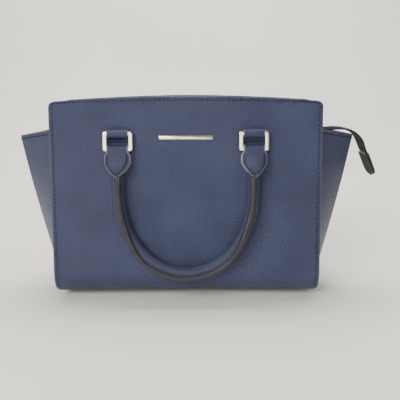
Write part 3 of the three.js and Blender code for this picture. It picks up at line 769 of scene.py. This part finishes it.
def make_handle(side):
    back = side == "back"
    path = handle_path()
    ahead = unit(np.gradient(path, axis=0))
    # Convex side of the handle, in the plane of the face.
    convex = np.stack([ahead[:, 1], -ahead[:, 0]], axis=1)
    centres = np.array([on_face(px, ph, HANDLE_OUT, back) for px, ph in path])
    base = on_face(0, 0, 0, back)
    outside = unit(np.array([on_face(cx, ch, 0, back) - base for cx, ch in convex]))
    front = np.tile(unit(on_face(0, 0, 1, back) - base), (len(centres), 1))
    # The sewn edge faces forwards on the legs and turns towards the outside round the bottom.
    bottom = np.clip((HANDLE_HALF - np.abs(path[:, 0])) / 30.0, 0, 1)
    bottom = bottom * bottom * (3 - 2 * bottom)
    facing = np.radians(98 - 46 * bottom)
    first = outside * np.cos(facing)[:, None] + front * np.sin(facing)[:, None]
    second = front * np.cos(facing)[:, None] - outside * np.sin(facing)[:, None]
    half, reach, radius = 2.3, 9.7, HANDLE_RADIUS
    join = math.asin((half + 0.9) / radius)
    section, slots = [], []
    for a in np.linspace(join, 2 * math.pi - join, 40):
        section.append((radius * math.cos(a), radius * math.sin(a)))
        slots.append(0)
    # One side of the sewn edge, from the roll to its tip; the other side mirrors it.
    edge_side = [(6.3, half + 0.35), (7.0, half + 0.05), (8.2, half), (9.2, half), (reach, half - 0.5),
                 (reach + 0.1, 0.35)]
    looks_near = [0, 0, 1, 1, 1, 1]
    looks_far = [1, 1, 1, 0, 0, 0]
    rising = [(out, -across, slot) for (out, across), slot in zip(edge_side, looks_near)]
    falling = [(out, across, slot) for (out, across), slot in zip(edge_side[::-1], looks_far)]
    for out, across, slot in rising + [(reach - 0.25, 0.0, 1)] + falling:
        section.append((out, across))
        slots.append(slot)
    section = np.array(section)
    # The edge fades into the roll under each tab.
    fade = np.clip((HANDLE_TOP_H - 6 - path[:, 1]) / 8.0, 0.0, 1.0)
    fade = np.where(path[:, 1] > 100, fade, 1.0)
    sections = np.tile(section, (len(centres), 1, 1))
    length = np.hypot(sections[..., 0], sections[..., 1])
    shrink = np.where(length > radius, (radius + (length - radius) * fade[:, None]) / length, 1.0)
    sections *= shrink[..., None]
    looks = [ROLL_NAVY, HANDLE_EDGE]
    piece = swept(f"{side}_handle_roll", centres, (first, second), sections, looks, slots)
    dress(piece, f"{side}_handle", f"{side}_handle")
    keep = path[:, 1] < HANDLE_TOP_H - 12
    for name, sign in (("inner", -1), ("outer", 1)):
        line = centres + first * 7.3 + second * sign * (half + 0.12)
        stitches(f"{side}_handle_stitches_{name}", line[keep], (second * sign)[keep], f"{side}_handle",
                 pitch=4.0, long=2.4, wide=0.4)


NAME_BAR = {"width": 56.0, "height": 4.4, "corner": 1.4, "h": 165.2}


def make_name_bar():
    """A plain slim bar: rounded ends and a bevelled face."""
    points, _ = rounded_frame(NAME_BAR["width"], NAME_BAR["height"], NAME_BAR["corner"])
    size = np.array((NAME_BAR["width"], NAME_BAR["height"])) / 2
    verts = []
    rings = ((0.3, 0.0), (1.3, 0.0), (1.8, 0.35), (2.0, 0.8))
    for out, inset in rings:
        for px, py in points * (size - inset) / size:
            verts.append(on_face(px, NAME_BAR["h"] + py, out))
    count = len(points)
    faces = ring_faces(len(rings), count)
    faces.append(list(range(count))[::-1])
    faces.append([(len(rings) - 1) * count + k for k in range(count)])
    piece = finish_mesh("name_bar_plain", verts, faces, [GOLD], sharp=28)
    dress(piece, "bag", "name_bar")


for side in ("front", "back"):
    make_panel(side)
    for end, x in (("left", -BAR_X), ("right", BAR_X)):
        place = -x if side == "back" else x
        make_chape(side, end, place)
        make_ring(side, end, place)
        make_tab(side, end, place)
    make_handle(side)
make_wing("left")
make_wing("right")
make_name_bar()

# ---- the inside: facings, linings, pockets, base and board ----
def grid_on(xs, levels, place):
    return np.array([[place(x, z) for x in xs] for z in levels])


def sheet_piece(name, node, grid, thick, outward, face, body, edge=None, back=None):
    piece = shell(name, grid, thick, outward, face=face, back=back or face, edge=edge or face, rim=4)
    dress(piece, body, node)
    return piece


def wrinkle(x, z, depth):
    """Loose cloth: how far its long soft folds stand out at a place."""
    return depth * (math.sin(x / 13.0 + 1.4 * math.sin(z / 27.0)) * math.sin(z / 31.0 + 0.6)
                    + 0.5 * math.sin(z / 11.0 + x / 19.0))


def inner_patch(side, node, half, low, high, inset, thick, face, edge=None, folds=0.0, step=3.0):
    """A sheet lying against the inside of a panel; its seen side looks into the bag."""
    sign = 1 if side == "back" else -1
    xs = np.linspace(-half, half, int(2 * half / step))
    levels = np.linspace(0, 1, int((high(0) - low) / step))

    def place(x, share):
        z = low + (high(x) - low) * share
        fade = min(1.0, 6 * share, 6 * (1 - share), (half - abs(x)) / 10)
        return (MIDDLE_X + x, sign * (layer_depth(z, inset + thick) - abs(wrinkle(x, z, folds)) * fade), z)

    grid = grid_on(xs, levels, place)
    sheet_piece(f"{node}_sheet", node, grid, thick, (0, -sign, 0), face, "bag", edge)
    return grid


def edge_stitches(name, grid, marks, inset, outward, body):
    """Stitches a little way in from the marked sides of a grid."""
    up = unit(np.asarray(outward, float))
    rims = {"low": (grid[0], grid[1]), "high": (grid[-1], grid[-2]),
            "start": (grid[:, 0], grid[:, 1]), "end": (grid[:, -1], grid[:, -2])}
    for mark, (line, neighbour) in rims.items():
        if mark in marks:
            path = line + unit(neighbour - line) * inset + up * 0.05
            stitches(f"{name}_{mark}", path[2:-2], up, body, pitch=SHEET_PITCH)


def box_sheet(node, face, body, edge=None, crown=0.0, folds=0.0, step=4.0):
    """A sheet filling a flat CAD box, with a slightly crowned and uneven top."""
    low, high = cad_box(node)
    xs = np.linspace(low[0] + 0.4, high[0] - 0.4, max(6, int((high[0] - low[0]) / step)))
    ys = np.linspace(low[1] + 0.4, high[1] - 0.4, max(6, int((high[1] - low[1]) / step)))
    middle = (low + high) / 2
    half = (high - low) / 2

    def place(x, y):
        u, v = (x - middle[0]) / half[0], (y - middle[1]) / half[1]
        dome = crown * (1 - v * v) * (1 - u ** 8)
        return (x, y, high[2] + dome + wrinkle(x, y * 2, folds))

    grid = grid_on(xs, ys, place)
    sheet_piece(f"{node}_sheet", node, grid, high[2] - low[2], (0, 0, 1), face, body, edge)
    return grid


def panel_top(x):
    u = x / TOP_HALF_WIDTH
    return TOP_Z - ARCH + ARCH * (1 - u * u)


ALL_SIDES = ("low", "high", "start", "end")
INSET = LEATHER + 0.3
for side in ("front", "back"):
    into = (0, 1, 0) if side == "front" else (0, -1, 0)
    facing = inner_patch(side, f"{side}_facing", 127.0, 175.5, lambda x: panel_top(x) - 1.6, INSET, 1.2,
                         STRIP_NAVY, EDGE)
    edge_stitches(f"{side}_facing_stitches", facing, ("low", "high"), 3.0, into, "bag")
    inner_patch(side, f"{side}_lining", 125.5, 26.0, lambda x: 168.8, INSET, 0.8, CLOTH,
                folds=0.5)
POCKET_INSET = INSET + 1.1
slip = inner_patch("front", "slip_pocket", 61.8, 62.3, lambda x: 137.8, POCKET_INSET, 0.8, CLOTH,
                   folds=0.6)
edge_stitches("slip_pocket_stitches", slip, ALL_SIDES, 3.0, (0, 1, 0), "bag")
zipped = inner_patch("back", "zip_pocket", 79.8, 48.3, lambda x: 117.8, POCKET_INSET, 0.8, CLOTH,
                     folds=0.6)
edge_stitches("zip_pocket_stitches", zipped, ("low", "start", "end"), 3.0, (0, -1, 0), "bag")
inner_patch("back", "zip_pocket_zip", 75.8, 121.3, lambda x: 128.8, POCKET_INSET, 1.6, TAPE)
box_sheet("base_lining", CLOTH, "bag", folds=0.12)
box_sheet("base_board", BOARD, "bag")


def make_base_panel():
    """The leather bottom: long, and tapered to the wings' folds at its ends."""
    low, high = cad_box("base_panel")
    reach, half = (high[0] - low[0]) / 2 - 0.4, (high[1] - low[1]) / 2 - 0.4

    def place(x, v):
        taper = 1 - 0.72 * max(0.0, (abs(x) - 135.0) / 11.0)
        return (MIDDLE_X + x, v * half * taper, low[2] + 0.15 * (1 - v * v))

    grid = grid_on(np.linspace(-reach, reach, 90), np.linspace(-1, 1, 22), place)
    sheet_piece("base_panel_leather", "base_panel", grid, LEATHER, (0, 0, -1), NAVY, "bag",
                EDGE)
    edge_stitches("base_stitches", grid, ("low", "high"), 3.0, (0, 0, -1), "bag")


make_base_panel()


# ---- feet ----
def lathe(name, profile, centre, material, turns=40):
    """A profile of (radius, z) turned round an upright axis."""
    angles = turns_of(turns)
    verts = [(centre[0] + r * math.cos(a), centre[1] + r * math.sin(a), centre[2] + z)
             for r, z in profile for a in angles]
    faces = ring_faces(len(profile), turns)
    faces.append(list(range(turns))[::-1])
    faces.append([(len(profile) - 1) * turns + k for k in range(turns)])
    return finish_mesh(name, verts, faces, [material], sharp=40)


FOOT_PROFILE = [(3.6, 0.0), (4.4, 0.06), (5.3, 0.4), (6.1, 1.0), (6.6, 1.7), (6.75, 2.3),
                (6.7, 2.5), (6.95, 2.65), (7.0, 3.0), (6.95, 3.65), (6.0, 3.7)]
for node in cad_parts:
    if node.startswith("foot_"):
        low, high = cad_box(node)
        middle = (low + high) / 2
        foot = lathe(f"{node}_dome", FOOT_PROFILE, (middle[0], middle[1], low[2]), GOLD)
        dress(foot, "bag", node)


# ---- zip ----
def make_teeth(side):
    """A row of moulded metal teeth that mesh with the other row's, half a pitch along."""
    low, high = cad_box(f"{side}_zip_teeth")
    sign = -1 if side == "front" else 1
    pitch = 2.6
    root = low[1] if side == "front" else high[1]
    z = (low[2] + high[2]) / 2
    stations = ((0.0, 0.95, 1.0), (0.5, 1.05, 1.2), (1.8, 1.0, 1.2), (2.7, 0.62, 0.85), (3.3, 0.85, 0.95),
                (3.9, 0.62, 0.6))
    start = low[0] + 1.6 + (pitch / 2 if side == "back" else 0.0)
    verts, faces = [], []
    for x in np.arange(start, high[0] - 1.2, pitch):
        first = len(verts)
        for reach, wide, tall in stations:
            for k in range(8):
                a = 2 * math.pi * (k + 0.5) / 8
                verts.append((x + wide * math.cos(a), root - sign * reach, z + tall * math.sin(a)))
        for i in range(len(stations) - 1):
            for k in range(8):
                a, b = first + i * 8 + k, first + i * 8 + (k + 1) % 8
                quad = [a, b, b + 8, a + 8]
                faces.append(quad if sign > 0 else quad[::-1])
        cap = [first + k for k in range(8)]
        tip = [first + (len(stations) - 1) * 8 + k for k in range(8)]
        faces.append(cap[::-1] if sign > 0 else cap)
        faces.append(tip if sign > 0 else tip[::-1])
    piece = finish_mesh(f"{side}_teeth_metal", verts, faces, [GOLD], sharp=35)
    dress(piece, f"{side}_zip_flap", f"{side}_zip_teeth")


for side in ("front", "back"):
    body = f"{side}_zip_flap"
    strip = box_sheet(f"{side}_zip_strip", STRIP_NAVY, body, EDGE, crown=0.25, step=2.5)
    edge_stitches(f"{side}_strip_stitches", strip, ("low", "high"), 2.2, (0, 0, 1), body)
    box_sheet(f"{side}_zip_tape", TAPE, body, step=1.6, folds=0.05)
    make_teeth(side)
for end in ("left", "right"):
    cap = box_sheet(f"zip_end_{end}", STRIP_NAVY, "bag", EDGE, crown=0.4, step=2.5)
    edge_stitches(f"zip_end_stitches_{end}", cap, ALL_SIDES, 2.4, (0, 0, 1), "bag")


def plate(name, outline, place, thick, bevel, material, hole=None, sharp=30):
    """A flat plate with bevelled edges from a closed outline; place(px, py, out) puts it in space."""
    rings = ((0.0, bevel), (bevel, 0.0), (thick - bevel, 0.0), (thick, bevel))
    size = np.abs(outline - outline.mean(0)).max(0)
    middle = outline.mean(0)
    verts = []
    count = len(outline)
    for out, inset in rings:
        scale = (size - inset) / size
        verts += [place(px, py, out) for px, py in (outline - middle) * scale + middle]
    faces = ring_faces(len(rings), count)
    if hole is None:
        faces.append(list(range(count))[::-1])
        faces.append([3 * count + k for k in range(count)])
    else:
        base = len(verts)
        for out in (0.0, thick):
            verts += [place(px, py, out) for px, py in hole]
        for k in range(count):
            k2 = (k + 1) % count
            faces.append([k2, k, base + k, base + k2])
            faces.append([3 * count + k, 3 * count + k2, base + count + k2, base + count + k])
            faces.append([base + k2, base + k, base + count + k, base + count + k2])
    return finish_mesh(name, verts, faces, [material], sharp=sharp)


def lying_on(node):
    """The middle of a node's box, its underside, and a way to place a plate's points flat on it."""
    low, high = cad_box(node)
    middle = (low + high) / 2
    return middle, low[2], lambda px, py, out: (middle[0] + px, middle[1] + py, low[2] + out)


def make_slider():
    middle, floor_z, place = lying_on("zip_slider")
    outline, _ = rounded_frame(12.0, 8.6, 2.2)
    outline = outline * np.c_[np.ones(len(outline)), 1 - 0.16 * np.cos(outline[:, 0] / 6 * math.pi / 2)]
    body = plate("zip_slider_plate", outline, place, 2.0, 0.4, GOLD)
    dress(body, "zip_slider", "zip_slider")
    turns = np.radians(np.linspace(180, 0, 25))
    rises = [floor_z + 1.9 + 2.5 * math.sin(a) ** 0.6 for a in turns]
    centres = np.array([(middle[0] + 3.6 * math.cos(a), middle[1], z) for a, z in zip(turns, rises)])
    ahead = unit(np.gradient(centres, axis=0))
    side = np.tile((0.0, 1.0, 0.0), (len(centres), 1))
    angles = turns_of(14)
    section = [(1.2 * math.cos(a), 0.45 * math.sin(a)) for a in angles]
    frames = (side, np.cross(ahead, side))
    bridge = swept("zip_slider_bridge", centres, frames, section, [GOLD], [0] * len(section))
    dress(bridge, "zip_slider")


def make_pull():
    _, _, place = lying_on("zip_pull")
    outline, _ = rounded_frame(20.0, 7.6, 2.6)
    waist = 0.86 + 0.14 * np.cos((outline[:, 0] + 4) / 14 * math.pi)
    outline = outline * np.c_[np.ones(len(outline)), waist]
    window, _ = rounded_frame(7.0, 3.4, 0.7)
    piece = plate("zip_pull_plate", outline, place, 1.0, 0.3, GOLD, hole=window + (5.7, 0.0))
    dress(piece, "zip_pull", "zip_pull")


make_slider()
make_pull()

# ---- zip tail and its stitched end tab ----
TAIL_POINTS = np.array([(134.6, 171.5), (149, 174), (167, 174.3), (180.6, 170.4), (188.6, 162),
                        (194.4, 149)])


def smooth_line(points, per_span=12):
    """A Catmull-Rom line through the points."""
    padded = np.concatenate([[2 * points[0] - points[1]], points, [2 * points[-1] - points[-2]]])
    out = []
    for i in range(1, len(padded) - 2):
        a, b, c, d = padded[i - 1:i + 3]
        for t in np.linspace(0, 1, per_span, endpoint=i == len(padded) - 3):
            out.append(0.5 * (2 * b + (c - a) * t + (2 * a - 5 * b + 4 * c - d) * t ** 2
                              + (3 * b - a - 3 * c + d) * t ** 3))
    return np.array(out)


def make_tail():
    line = smooth_line(TAIL_POINTS)
    ahead = unit(np.gradient(line, axis=0))
    over = np.stack([-ahead[:, 1], ahead[:, 0]], axis=1)
    rows = []
    for k, (point, up) in enumerate(zip(line, over)):
        share = k / (len(line) - 1)
        row = []
        for v in np.linspace(-1, 1, 21):
            # The tape cups a little along its middle, and its edges ripple.
            raise_by = 1.0 - 0.5 * v * v + 0.25 * math.sin(share * 19 + v) * v * v
            x, z = point + up * raise_by
            row.append((MIDDLE_X + x, v * 12.8, z))
        rows.append(row)
    grid = np.array(rows)
    piece = shell("zip_tail_tape", grid, 1.5, (0, 0, 1), face=TAPE, back=TAPE, edge=TAPE, probe=10)
    dress(piece, "zip_tail", "zip_tail")
    normal, _ = facing_normals(grid, (0, 0, 1), 10)
    for name, column in (("front", 5), ("back", 15)):
        stitches(f"zip_tail_stitches_{name}", grid[1:-1, column] + normal[1:-1, column] * 0.1,
                 normal[1:-1, column], "zip_tail", pitch=3.4)


def end_half(share):
    """Half the end tab's width along its length."""
    if share < 0.6:
        return 12.4
    t = (share - 0.6) / 0.4
    return max(0.8, 12.4 * math.sqrt(max(0.0, 1 - t ** 2.3)))


def make_end_tab():
    long, drop = 27.0, 0.42
    corner = np.array((194.6, 147.6))
    along = np.array((math.sin(drop), -math.cos(drop)))
    out = np.array((math.cos(drop), math.sin(drop)))
    for layer, level in (("outer", 2.2), ("inner", -0.15)):
        rows = []
        for share in 1 - (1 - np.linspace(0, 1, 34)) ** 1.5:
            half = end_half(share)
            row = []
            for v in np.linspace(-1, 1, 17):
                x, z = corner + along * long * share + out * (level - 0.35 * v * v)
                row.append((MIDDLE_X + x, v * half, z))
            rows.append(row)
        grid = np.array(rows)
        # The back of each layer carries painted shade: the darker copy of the leather back.
        piece = shell(f"zip_end_tab_{layer}", grid, 1.9, (out[0], 0, out[1]), face=TAB_NAVY, back=SHADED_BACK,
                      edge=HANDLE_EDGE)
        dress(piece, "zip_tail")
        if layer == "outer":
            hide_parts("zip_end_tab")
            up = np.array((out[0], 0, out[1]))
            middle = grid[:, 8:9]
            inner = grid + unit(middle - grid) * 2.6
            keep = slice(2, 27)
            path = np.concatenate([inner[keep, 0], inner[keep, -1][::-1]])
            stitches("zip_end_tab_stitches", path + up * 0.1, up, "zip_tail", pitch=3.4)


make_tail()
make_end_tab()

# ---- camera, light and floor ----
scene = bpy.context.scene
camera_data = bpy.data.cameras.new("camera")
camera_data.sensor_width = 36.0
camera_data.lens = 45.0
camera_data.clip_start = 0.01
camera = bpy.data.objects.new("camera", camera_data)
scene.collection.objects.link(camera)
turn = Matrix.Rotation(-0.0021, 4, "Z") @ Matrix.Rotation(math.pi / 2 - 0.2281, 4, "X")
camera.matrix_world = (Matrix.Translation(((MIDDLE_X + 13.1) * MM, -548.4 * MM, 221.5 * MM)) @ turn
                       @ Matrix.Rotation(-0.0035, 4, "Z"))
scene.camera = camera


def area_light(name, place, target, size, power, colour):
    data = bpy.data.lights.new(name, "AREA")
    data.shape = "RECTANGLE"
    data.size, data.size_y = size
    data.energy = power
    data.color = colour
    light = bpy.data.objects.new(name, data)
    light.location = place
    light.rotation_euler = (Vector(target) - Vector(place)).to_track_quat("-Z", "Y").to_euler()
    scene.collection.objects.link(light)


CENTRE = (MIDDLE_X * MM, 0.0, 0.1)
area_light("key", (-0.9, -1.4, 1.1), CENTRE, (1.1, 0.8), 31.0, (1.0, 0.985, 0.96))
area_light("low", (-0.1, -0.95, 0.28), (MIDDLE_X * MM, 0.0, 0.05), (0.7, 0.3), 2.6, (1.0, 0.98, 0.97))
area_light("top", (0.0, 0.7, 1.9), CENTRE, (1.6, 1.2), 26.0, (1.0, 1.0, 1.0))
area_light("backdrop", (0.0, 0.5, 1.7), (0.0, 1.5, 0.4), (2.4, 0.8), 34.0, (1.0, 0.985, 0.95))

world = bpy.data.worlds.new("studio")
scene.world = world
world.use_nodes = True
background = world.node_tree.nodes["Background"]
background.inputs["Color"].default_value = (0.92, 0.92, 0.90, 1.0)
background.inputs["Strength"].default_value = 0.4


def make_floor():
    """A pale floor that sweeps up into the backdrop."""
    rows = []
    for y, z in ((-1500, 0), (-400, 0), (0, 0), (400, 0), (900, 0), (1200, 20), (1420, 110), (1540, 300),
                 (1580, 600), (1600, 1600)):
        rows.append([(x, y, z) for x in np.linspace(-2200, 2200, 9)])
    grid = np.array(rows, float)
    count = grid.shape[0] * grid.shape[1]
    index = np.arange(count).reshape(grid.shape[:2])
    quads = grid_quads(index)
    n = Nodes("pale_floor")
    place = n.node("ShaderNodeTexCoord").outputs["Object"]
    n.link(n.ramp(n.noise(place, 0.5, 3.0), [(0.3, (0.79, 0.77, 0.69)), (0.7, (0.85, 0.83, 0.75))]),
           n.shader.inputs["Base Color"])
    n.set(Roughness=0.7, Specular_IOR_Level=0.25)
    floor = finish_mesh("studio_floor", grid.reshape(-1, 3), quads.tolist(), [n.material])


make_floor()
